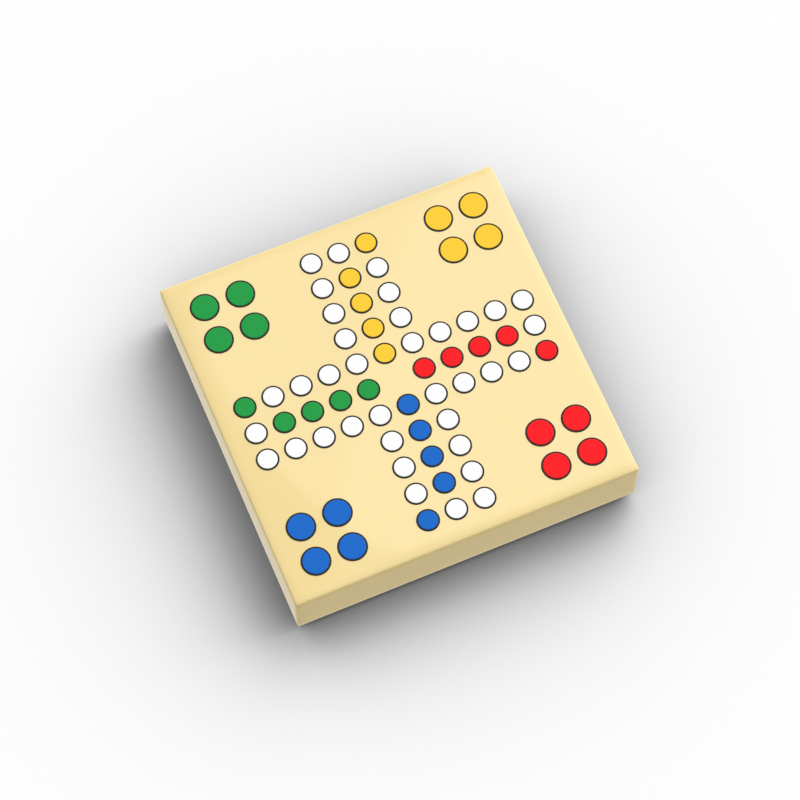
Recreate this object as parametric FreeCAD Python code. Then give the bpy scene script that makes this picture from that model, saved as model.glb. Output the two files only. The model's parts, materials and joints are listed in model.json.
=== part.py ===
"""Ludo playing board printed on a two-by-two building-brick tile.

The part is one moulded tile, hollow underneath so that it grips the studs of the brick below it, and the
printed game on its top face. Every island of ink is a solid of its own: a dark disc, whose rim shows as the
outline, and the spot of colour printed over it. Millimetres, +Z up, the origin in the middle of the rim that
the tile stands on. +X runs along the front edge and +Y from front to back. Each player's quarter of the game
is the one before it, turned a quarter turn clockwise about Z.
"""

import FreeCAD, Part
import math
import os

Vector = FreeCAD.Vector
ORIGIN = Vector(0, 0, 0)
UP = Vector(0, 0, 1)
SQUARE_SIDES = 4

# Brick system: the grid of studs that the tile plugs on to
STUD_PITCH = 8.0
STUD_DIAMETER = 4.8
SIDE_CLEARANCE = 0.1

# Tile moulding
TILE_HEIGHT = 3.2
ROOF_THICKNESS = 1.2
GROOVE_HEIGHT = 0.5
GROOVE_DEPTH = 0.3
EDGE_RADIUS = 0.08
LIP_RADIUS = 0.05
CAVITY_CORNER_RADIUS = 0.2
LEAD_IN = 0.12
TUBE_WALL = 0.857
GATE_RECESS_DIAMETER = 1.4
GATE_RECESS_DEPTH = 0.12

# Printed game
PRINT_MARGIN = 0.872
INK_THICKNESS = 0.02
OUTLINE_WIDTH = 0.08
SPOT_GAP = 0.285
HOME_SPOT_DIAMETER = 1.31
HOME_GAP = 0.36
DISC_SIDES = 20

# Game: the spots of each player's lane, and the players in the order in which the path meets them
LANE_SPOTS = 4
PLAYERS = ("green", "yellow", "red", "blue")

# Tile that follows from those: each stud sits tight between two walls of the cavity and the tube
TILE_SIDE = 2 * (STUD_PITCH - SIDE_CLEARANCE)
CAVITY_SIDE = STUD_PITCH + STUD_DIAMETER
CAVITY_DEPTH = TILE_HEIGHT - ROOF_THICKNESS
TUBE_OUTER_DIAMETER = math.sqrt(2) * STUD_PITCH - STUD_DIAMETER
TUBE_INNER_DIAMETER = TUBE_OUTER_DIAMETER - 2 * TUBE_WALL

# Print that follows from those: the cross and the homes reach out to the same margin on all four sides
PRINT_SIDE = TILE_SIDE - 2 * PRINT_MARGIN
CROSS_SPOTS = 2 * (LANE_SPOTS + 1) + 1
CELL_PITCH = (PRINT_SIDE + SPOT_GAP) / CROSS_SPOTS
SPOT_DIAMETER = CELL_PITCH - SPOT_GAP
HOME_PITCH = HOME_SPOT_DIAMETER + HOME_GAP


def turned(x, y, quarter_turns):
    """The point (x, y) after that many quarter turns clockwise about the origin."""
    for _ in range(quarter_turns):
        x, y = y, -x
    return x, y


def rounded_square(side, corner_radius, z):
    """Closed wire of a square centred on the Z axis at height z, with rounded corners."""
    half = side / 2
    straight = half - corner_radius
    bulge = straight + corner_radius / math.sqrt(2)
    edges = []
    for turn in range(SQUARE_SIDES):
        corner = [(half, -straight), (half, straight), (bulge, bulge), (straight, half)]
        first, second, middle, third = (Vector(*turned(x, y, turn), z) for x, y in corner)
        edges.append(Part.LineSegment(first, second).toShape())
        edges.append(Part.Arc(second, middle, third).toShape())
    return Part.Wire(Part.sortEdges(edges)[0])


def prism(side, corner_radius, z_low, z_high):
    """Upright square prism with rounded corners."""
    return Part.Face(rounded_square(side, corner_radius, z_low)).extrude(UP * (z_high - z_low))


def edges_at(shape, z):
    """The edges of a shape that lie wholly at height z."""
    return [edge for edge in shape.Edges if all(math.isclose(end.Z, z) for end in edge.Vertexes)]


def upright_edges(shape):
    """The edges of a shape whose ends lie at different heights."""
    return [edge for edge in shape.Edges if not edges_at(edge, edge.Vertexes[0].Z)]


def outer_form():
    """Outside of the tile: a block with softened edges, on a foot set back to leave the groove."""
    corner = Vector(-TILE_SIDE / 2, -TILE_SIDE / 2, GROOVE_HEIGHT)
    upper = Part.makeBox(TILE_SIDE, TILE_SIDE, TILE_HEIGHT - GROOVE_HEIGHT, corner)
    upper = upper.makeFillet(EDGE_RADIUS, upright_edges(upper) + edges_at(upper, TILE_HEIGHT))
    upper = upper.makeFillet(LIP_RADIUS, edges_at(upper, GROOVE_HEIGHT))
    foot = prism(TILE_SIDE - 2 * GROOVE_DEPTH, EDGE_RADIUS, 0, GROOVE_HEIGHT)
    return upper.fuse(foot)


def cavity():
    """Hollow under the roof, flared at its mouth to guide the studs in."""
    hollow = prism(CAVITY_SIDE, CAVITY_CORNER_RADIUS, 0, CAVITY_DEPTH)
    mouth = rounded_square(CAVITY_SIDE + 2 * LEAD_IN, CAVITY_CORNER_RADIUS + LEAD_IN, 0)
    throat = rounded_square(CAVITY_SIDE, CAVITY_CORNER_RADIUS, LEAD_IN)
    return hollow.fuse(Part.makeLoft([mouth, throat], True, True))


def stud_tube():
    """Tube in the middle of the cavity, turned about Z, with both lips of its mouth bevelled."""
    inner = TUBE_INNER_DIAMETER / 2
    outer = TUBE_OUTER_DIAMETER / 2
    profile = [
        Vector(inner + LEAD_IN, 0, 0),
        Vector(outer - LEAD_IN, 0, 0),
        Vector(outer, 0, LEAD_IN),
        Vector(outer, 0, CAVITY_DEPTH),
        Vector(inner, 0, CAVITY_DEPTH),
        Vector(inner, 0, LEAD_IN),
    ]
    return Part.Face(Part.makePolygon(profile + profile[:1])).revolve(ORIGIN, UP, 360)


def tile_body():
    """The moulding: outside, cavity and stud tube, with the round recess that holds the gate mark."""
    gate_recess = Part.makeCylinder(GATE_RECESS_DIAMETER / 2, GATE_RECESS_DEPTH, UP * CAVITY_DEPTH)
    shell = outer_form().cut(cavity()).cut(gate_recess)
    return shell.fuse(stud_tube()).removeSplitter()


def cells_to_points(cells, turn):
    """Places on the board of cells counted from its middle, in the quarter of the player at that turn."""
    return [turned(column * CELL_PITCH, row * CELL_PITCH, turn) for column, row in cells]


def path_points(turn):
    """White path from a player's start to the next one's: in along an arm, out along the next, to its end."""
    inward = [(-column, 1) for column in range(LANE_SPOTS, 0, -1)]
    outward = [(-1, row) for row in range(2, LANE_SPOTS + 2)]
    return cells_to_points(inward + outward + [(0, LANE_SPOTS + 1)], turn)


def start_points(turn):
    """The coloured cell of the path where a player's tokens enter."""
    return cells_to_points([(-LANE_SPOTS - 1, 1)], turn)


def goal_points(turn):
    """The player's lane along the middle of the arm."""
    return cells_to_points([(-column, 0) for column in range(LANE_SPOTS, 0, -1)], turn)


def home_points(turn):
    """The square of waiting places in the player's corner."""
    far = (PRINT_SIDE - HOME_SPOT_DIAMETER) / 2
    near = far - HOME_PITCH
    return [turned(-x, y, turn) for x in (near, far) for y in (near, far)]


def ink_disc(diameter, point, z):
    """Island of ink one layer thick: a disc of many sides, because the print has so many of them."""
    corner = Vector(diameter / 2, 0, 0)
    corners = []
    for side in range(DISC_SIDES):
        turn = FreeCAD.Rotation(UP, 360 * side / DISC_SIDES)
        corners.append(Vector(*point, z) + turn.multVec(corner))
    return Part.Face(Part.makePolygon(corners + corners[:1])).extrude(UP * INK_THICKNESS)


def printed_group(name, diameter, points):
    """A group's dark outline islands and the spots of colour over them, as two nodes."""
    spot_z = TILE_HEIGHT + INK_THICKNESS
    outlines = [ink_disc(diameter, point, TILE_HEIGHT) for point in points]
    spots = [ink_disc(diameter - 2 * OUTLINE_WIDTH, point, spot_z) for point in points]
    return {name + "_outlines": outlines, name + "_spots": spots}


def printed_game():
    """Every node of the print, player by player."""
    nodes = {}
    for turn, player in enumerate(PLAYERS):
        nodes |= printed_group(player + "_home", HOME_SPOT_DIAMETER, home_points(turn))
        nodes |= printed_group(player + "_start", SPOT_DIAMETER, start_points(turn))
        nodes |= printed_group(player + "_goal", SPOT_DIAMETER, goal_points(turn))
        nodes |= printed_group("white_path_after_" + player, SPOT_DIAMETER, path_points(turn))
    return nodes


def main():
    nodes = {"tile_body": [tile_body()]} | printed_game()
    os.makedirs("parts", exist_ok=True)
    for name, solids in nodes.items():
        Part.makeCompound(solids).exportStep(os.path.join("parts", name + ".step"))


main()
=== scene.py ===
import json
import math

import bmesh
import bpy
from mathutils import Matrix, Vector


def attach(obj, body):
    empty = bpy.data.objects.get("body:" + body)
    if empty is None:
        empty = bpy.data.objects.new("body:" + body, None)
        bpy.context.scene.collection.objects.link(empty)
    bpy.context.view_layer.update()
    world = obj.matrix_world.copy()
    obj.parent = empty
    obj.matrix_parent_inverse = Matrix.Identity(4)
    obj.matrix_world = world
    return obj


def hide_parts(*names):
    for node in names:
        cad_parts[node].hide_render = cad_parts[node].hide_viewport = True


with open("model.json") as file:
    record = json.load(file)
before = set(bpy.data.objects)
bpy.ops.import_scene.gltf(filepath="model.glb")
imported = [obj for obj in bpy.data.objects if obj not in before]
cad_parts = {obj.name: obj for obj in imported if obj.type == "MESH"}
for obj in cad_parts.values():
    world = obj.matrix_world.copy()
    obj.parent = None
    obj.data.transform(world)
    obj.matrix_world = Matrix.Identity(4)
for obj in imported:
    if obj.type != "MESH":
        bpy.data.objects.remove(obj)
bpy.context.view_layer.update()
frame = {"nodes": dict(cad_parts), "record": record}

MM = 0.001
QUARTER_TURN = math.pi / 2

# Camera: the point of the top face that it looks at, where it stands from there, its lens and its range
CAMERA_TARGET = Vector((-0.245, -0.969, 3.2)) * MM
CAMERA_AZIMUTH = math.radians(247.05)
CAMERA_ELEVATION = math.radians(67.08)
CAMERA_DISTANCE = 132.57 * MM
CAMERA_LENS = 138.72
CAMERA_NEAR = 1 * MM
CAMERA_FAR = 20.0

# Islands of ink: how round they are, how their rims are softened, the band of the flat top that keeps the
# softening off the rest of it, and how close together two corners of a solid are the same one
DISC_SEGMENTS = 64
RIM_STEPS = 5
RIM_WIDTH = 0.03 * MM
RIM_DROP = 0.7
FLAT_BAND = 0.01 * MM
SAME_POINT = 0.0001 * MM

# Moulded plastic: its colour, its clouds and how dark they are, its grain, its clear gloss, and how far in
# and how strongly its edges are softened
TAN = (0.919, 0.725, 0.323)
CLOUD_SIZE = 4 * MM
CLOUD_SHADE = 0.985
PLASTIC_GRAIN = 0.08 * MM
PLASTIC_ROUGHNESS = (0.3, 0.4)
GLOSS_WEIGHT = 0.5
GLOSS_IOR = 1.8
GLOSS_ROUGHNESS = 0.03
EDGE_SOFTENING = 0.7 * MM
EDGE_SOFTNESS = 0.42
EDGE_SAMPLES = 12

# Printed inks: their colours, their grain and how dark it is, and how dull they are
INKS = {
    "green_ink": (0.018, 0.348, 0.063),
    "yellow_ink": (0.998, 0.638, 0.044),
    "red_ink": (0.998, 0.011, 0.016),
    "blue_ink": (0.01, 0.149, 0.61),
    "white_ink": (0.995, 0.995, 0.995),
    "outline_ink": (0.032, 0.029, 0.024),
}
INK_GRAIN = 0.05 * MM
INK_SHADE = 0.985
INK_ROUGHNESS = (0.42, 0.55)
INK_SPECULAR_LEVEL = 0.1

# Noise: the detail in it, the range that most of its values are in, and the ripple that it gives a surface
NOISE_DETAIL = 2
NOISE_RANGE = (0.3, 0.7)
RIPPLE_STRENGTH = 0.2
RIPPLE_HEIGHT = 0.0005 * MM

# Floor: its size, and the reach and strength of the painted shade that darkens its colour where the tile
# stands over it
FLOOR_SIDE = 6.0
FLOOR_PAINTED_SHADE_REACH = 100 * MM
FLOOR_PAINTED_SHADE = 0.79

# Lights from all round, by their strength from the far side to the bright side: the dome over the floor, the
# glow that the floor throws on the walls, and the floor as the gloss mirrors it, which is dark up to a share
# of that way. Then how soft the line between the dome and the floor is: level directions are half way up
BRIGHT_SIDE = math.radians(50)
DOME = (0.262, 1.116)
FLOOR_GLOW = (0.84, 0.25)
MIRRORED_FLOOR = (0, 1.94)
MIRRORED_FROM = 0.147
HORIZON = 0.005
HALF_WAY = 0.5

# Round lights: azimuth and elevation that they come from, width across, all in degrees, and brightness
LIGHTS = {
    "key": (22.7, 35.2, 61.4, 1.66),
    "round_box": (60.4, 63.4, 14.2, 1.5),
    "fill": (31, 66, 30, 0.65),
}


def new_material(name):
    """A node material, and its shader."""
    material = bpy.data.materials.new(name)
    material.use_nodes = True
    return material, material.node_tree.nodes["Principled BSDF"]


def add_node(tree, kind, **sockets):
    """A new node with the values of the named input sockets set."""
    node = tree.nodes.new("ShaderNode" + kind)
    for socket, value in sockets.items():
        node.inputs[socket.replace("_", " ")].default_value = value
    return node


def add_noise(tree, size):
    """Noise whose lumps are about that large."""
    place = add_node(tree, "TexCoord")
    noise = add_node(tree, "TexNoise", Scale=1 / size, Detail=NOISE_DETAIL)
    tree.links.new(place.outputs["Object"], noise.inputs["Vector"])
    return noise.outputs["Fac"]


def mapped(tree, value, low, high, start=0, end=1):
    """The value's way from start to end as the way from low to high, which are numbers or other outputs."""
    node = add_node(tree, "MapRange", From_Min=start, From_Max=end)
    tree.links.new(value, node.inputs["Value"])
    for socket, bound in (("To Min", low), ("To Max", high)):
        if isinstance(bound, bpy.types.NodeSocket):
            tree.links.new(bound, node.inputs[socket])
        else:
            node.inputs[socket].default_value = bound
    return node.outputs["Result"]


def shaded(tree, noise, colour, shade):
    """A colour that is darkened to that share of itself where the noise is low."""
    ramp = tree.nodes.new("ShaderNodeValToRGB")
    ramp.color_ramp.elements[0].color = (*(channel * shade for channel in colour), 1)
    ramp.color_ramp.elements[1].color = (*colour, 1)
    tree.links.new(mapped(tree, noise, 0, 1, *NOISE_RANGE), ramp.inputs["Fac"])
    return ramp.outputs["Color"]


def add_ripple(tree, noise):
    """A faint ripple where the noise is."""
    ripple = add_node(tree, "Bump", Strength=RIPPLE_STRENGTH, Distance=RIPPLE_HEIGHT)
    tree.links.new(noise, ripple.inputs["Height"])
    return ripple


def soft_edges(tree):
    """The way that the surface faces, leaning over near its edges."""
    rounded = add_node(tree, "Bevel", Radius=EDGE_SOFTENING)
    rounded.samples = EDGE_SAMPLES
    flat = tree.nodes.new("ShaderNodeNewGeometry")
    leaning = tree.nodes.new("ShaderNodeVectorMath")
    leaning.operation = "MULTIPLY_ADD"
    leaning.inputs[1].default_value = (EDGE_SOFTNESS, EDGE_SOFTNESS, EDGE_SOFTNESS)
    unit = tree.nodes.new("ShaderNodeVectorMath")
    unit.operation = "NORMALIZE"
    tree.links.new(rounded.outputs["Normal"], leaning.inputs[0])
    tree.links.new(flat.outputs["Normal"], leaning.inputs[2])
    tree.links.new(leaning.outputs["Vector"], unit.inputs[0])
    return unit.outputs["Vector"]


def tan_plastic():
    """Moulded plastic under a clear gloss, a little cloudy, with a faint ripple and softened edges."""
    material, shader = new_material("tan_plastic")
    tree = material.node_tree
    shader.inputs["Specular IOR Level"].default_value = 0
    shader.inputs["Coat Weight"].default_value = GLOSS_WEIGHT
    shader.inputs["Coat IOR"].default_value = GLOSS_IOR
    shader.inputs["Coat Roughness"].default_value = GLOSS_ROUGHNESS
    grain = add_noise(tree, PLASTIC_GRAIN)
    ripple = add_ripple(tree, grain)
    colour = shaded(tree, add_noise(tree, CLOUD_SIZE), TAN, CLOUD_SHADE)
    tree.links.new(soft_edges(tree), ripple.inputs["Normal"])
    tree.links.new(colour, shader.inputs["Base Color"])
    tree.links.new(mapped(tree, grain, *PLASTIC_ROUGHNESS, *NOISE_RANGE), shader.inputs["Roughness"])
    tree.links.new(ripple.outputs["Normal"], shader.inputs["Normal"])
    tree.links.new(ripple.outputs["Normal"], shader.inputs["Coat Normal"])
    return material


def ink(name, colour):
    """Satin ink with the fine grain of a print."""
    material, shader = new_material(name)
    tree = material.node_tree
    shader.inputs["Specular IOR Level"].default_value = INK_SPECULAR_LEVEL
    grain = add_noise(tree, INK_GRAIN)
    ripple = add_ripple(tree, grain)
    tree.links.new(shaded(tree, grain, colour, INK_SHADE), shader.inputs["Base Color"])
    tree.links.new(mapped(tree, grain, *INK_ROUGHNESS, *NOISE_RANGE), shader.inputs["Roughness"])
    tree.links.new(ripple.outputs["Normal"], shader.inputs["Normal"])
    return material


def islands(node):
    """The lowest and highest corner of each island of ink in a node of the frame."""
    solid = bmesh.new()
    solid.from_mesh(frame["nodes"][node].data)
    bmesh.ops.remove_doubles(solid, verts=solid.verts, dist=SAME_POINT)
    corners = []
    for seed in solid.verts:
        if seed.tag:
            continue
        seed.tag = True
        reached = [seed]
        for vertex in reached:
            for edge in vertex.link_edges:
                neighbour = edge.other_vert(vertex)
                if not neighbour.tag:
                    neighbour.tag = True
                    reached.append(neighbour)
        low = Vector(map(min, *(vertex.co for vertex in reached)))
        high = Vector(map(max, *(vertex.co for vertex in reached)))
        corners.append((low, high))
    solid.free()
    return corners


def rim_profile(radius, low, high):
    """Radius and height of each ring of an island, from its foot over the softened rim to its flat top."""
    drop = RIM_DROP * (high - low)
    rings = [(radius, low)]
    for step in range(RIM_STEPS + 1):
        turn = QUARTER_TURN * step / RIM_STEPS
        rings.append((radius - RIM_WIDTH * (1 - math.cos(turn)), high - drop * (1 - math.sin(turn))))
    rings.append((radius - RIM_WIDTH - FLAT_BAND, high))
    return rings


def add_island(mesh, low, high):
    """One island of ink, turned about its own upright axis."""
    middle = (low + high) / 2
    rings = []
    for radius, z in rim_profile((high.x - low.x) / 2, low.z, high.z):
        ring = []
        for segment in range(DISC_SEGMENTS):
            turn = 2 * math.pi * segment / DISC_SEGMENTS
            place = (middle.x + radius * math.cos(turn), middle.y + radius * math.sin(turn), z)
            ring.append(mesh.verts.new(place))
        rings.append(ring)
    for lower, upper in zip(rings, rings[1:]):
        for segment in range(DISC_SEGMENTS):
            after = (segment + 1) % DISC_SEGMENTS
            mesh.faces.new((lower[segment], lower[after], upper[after], upper[segment])).smooth = True
    mesh.faces.new(rings[-1]).smooth = True
    mesh.faces.new(reversed(rings[0]))


def print_node(node, material):
    """The piece that stands for one node of the print."""
    mesh = bmesh.new()
    for low, high in islands(node):
        add_island(mesh, low, high)
    data = bpy.data.meshes.new(node + "_print")
    mesh.to_mesh(data)
    mesh.free()
    data.materials.append(material)
    piece = bpy.data.objects.new(node + "_print", data)
    bpy.context.scene.collection.objects.link(piece)
    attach(piece, "root")
    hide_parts(node)


def dress_tile():
    """The tile in its plastic, and the print on it in its inks."""
    inks = {slot: ink(slot, colour) for slot, colour in INKS.items()}
    for part in frame["record"]["subparts"]:
        node, slot = part["node"], part["material_slot"]
        if slot in inks:
            print_node(node, inks[slot])
        else:
            body = frame["nodes"][node]
            body.data.materials.clear()
            body.data.materials.append(tan_plastic())


def floor_material():
    """Matt white with painted shade that darkens its colour where the tile hems it in, and that is clear
    from below.
    """
    material = bpy.data.materials.new("floor")
    material.use_nodes = True
    tree = material.node_tree
    tree.nodes.clear()
    out = tree.nodes.new("ShaderNodeOutputMaterial")
    # Painted shade: the floor's colour is darkened by how hemmed in by the tile each point is, raised to a
    # power
    hemmed = add_node(tree, "AmbientOcclusion", Distance=FLOOR_PAINTED_SHADE_REACH)
    shade = tree.nodes.new("ShaderNodeMath")
    shade.operation = "POWER"
    shade.inputs[1].default_value = FLOOR_PAINTED_SHADE
    matt = tree.nodes.new("ShaderNodeBsdfDiffuse")
    clear = tree.nodes.new("ShaderNodeBsdfTransparent")
    side = tree.nodes.new("ShaderNodeNewGeometry")
    sided = tree.nodes.new("ShaderNodeMixShader")
    tree.links.new(hemmed.outputs["AO"], shade.inputs[0])
    tree.links.new(shade.outputs["Value"], matt.inputs["Color"])
    tree.links.new(side.outputs["Backfacing"], sided.inputs["Fac"])
    tree.links.new(matt.outputs["BSDF"], sided.inputs[1])
    tree.links.new(clear.outputs["BSDF"], sided.inputs[2])
    tree.links.new(sided.outputs["Shader"], out.inputs["Surface"])
    return material


def add_floor():
    """A wide sheet under the tile that catches its shadow, and lets the light from below reach its walls."""
    mesh = bmesh.new()
    bmesh.ops.create_grid(mesh, x_segments=1, y_segments=1, size=FLOOR_SIDE / 2)
    data = bpy.data.meshes.new("floor")
    mesh.to_mesh(data)
    mesh.free()
    data.materials.append(floor_material())
    floor = bpy.data.objects.new("floor", data)
    floor.visible_diffuse = False
    floor.visible_glossy = False
    floor.visible_shadow = False
    bpy.context.scene.collection.objects.link(floor)


def direction(azimuth, elevation):
    """The direction with that azimuth, from +X towards +Y, and that elevation."""
    across = math.cos(elevation)
    return Vector((math.cos(azimuth) * across, math.sin(azimuth) * across, math.sin(elevation)))


def add_light(name, azimuth, elevation, width, brightness):
    """A round light far away, as bright all over as that much of plain white."""
    data = bpy.data.lights.new(name, "SUN")
    data.angle = math.radians(width)
    data.energy = brightness * math.pi * math.sin(data.angle / 2) ** 2
    lamp = bpy.data.objects.new(name, data)
    towards = direction(math.radians(azimuth), math.radians(elevation))
    lamp.rotation_euler = towards.to_track_quat("Z", "Y").to_euler()
    bpy.context.scene.collection.objects.link(lamp)


def part_way(tree, azimuth, elevation):
    """How far each direction runs along an axis: from 0, straight against it, to 1, straight along it."""
    place = tree.nodes.new("ShaderNodeTexCoord")
    along = tree.nodes.new("ShaderNodeVectorMath")
    along.operation = "DOT_PRODUCT"
    along.inputs[1].default_value = direction(azimuth, elevation)
    tree.links.new(place.outputs["Generated"], along.inputs[0])
    return mapped(tree, along.outputs["Value"], 0, 1, -1)


def add_world():
    """A dome of light over the floor and the floor's own light under it, which the camera sees as white."""
    world = bpy.data.worlds.new("studio")
    world.use_nodes = True
    bpy.context.scene.world = world
    tree = world.node_tree
    tree.nodes.clear()
    out = tree.nodes.new("ShaderNodeOutputWorld")
    studio = add_node(tree, "Background", Color=(1, 1, 1, 1))
    white = add_node(tree, "Background", Color=(1, 1, 1, 1), Strength=1)
    ray = tree.nodes.new("ShaderNodeLightPath")
    seen = tree.nodes.new("ShaderNodeMixShader")
    side = part_way(tree, BRIGHT_SIDE, 0)
    glow = mapped(tree, side, *FLOOR_GLOW)
    mirrored = mapped(tree, side, *MIRRORED_FLOOR, MIRRORED_FROM)
    below = mapped(tree, ray.outputs["Is Glossy Ray"], glow, mirrored)
    above = mapped(tree, side, *DOME)
    height = part_way(tree, 0, QUARTER_TURN)
    strength = mapped(tree, height, below, above, HALF_WAY - HORIZON, HALF_WAY + HORIZON)
    tree.links.new(strength, studio.inputs["Strength"])
    tree.links.new(ray.outputs["Is Camera Ray"], seen.inputs["Fac"])
    tree.links.new(studio.outputs["Background"], seen.inputs[1])
    tree.links.new(white.outputs["Background"], seen.inputs[2])
    tree.links.new(seen.outputs["Shader"], out.inputs["Surface"])


def add_camera():
    """The photograph's view."""
    back = direction(CAMERA_AZIMUTH, CAMERA_ELEVATION)
    data = bpy.data.cameras.new("camera")
    data.lens = CAMERA_LENS
    data.clip_start = CAMERA_NEAR
    data.clip_end = CAMERA_FAR
    camera = bpy.data.objects.new("camera", data)
    camera.location = CAMERA_TARGET + back * CAMERA_DISTANCE
    camera.rotation_euler = back.to_track_quat("Z", "Y").to_euler()
    bpy.context.scene.collection.objects.link(camera)
    bpy.context.scene.camera = camera


dress_tile()
add_floor()
for name, light in LIGHTS.items():
    add_light(name, *light)
add_world()
add_camera()
bpy.context.scene.view_settings.view_transform = "Standard"
bpy.context.scene.cycles.diffuse_bounces = 0
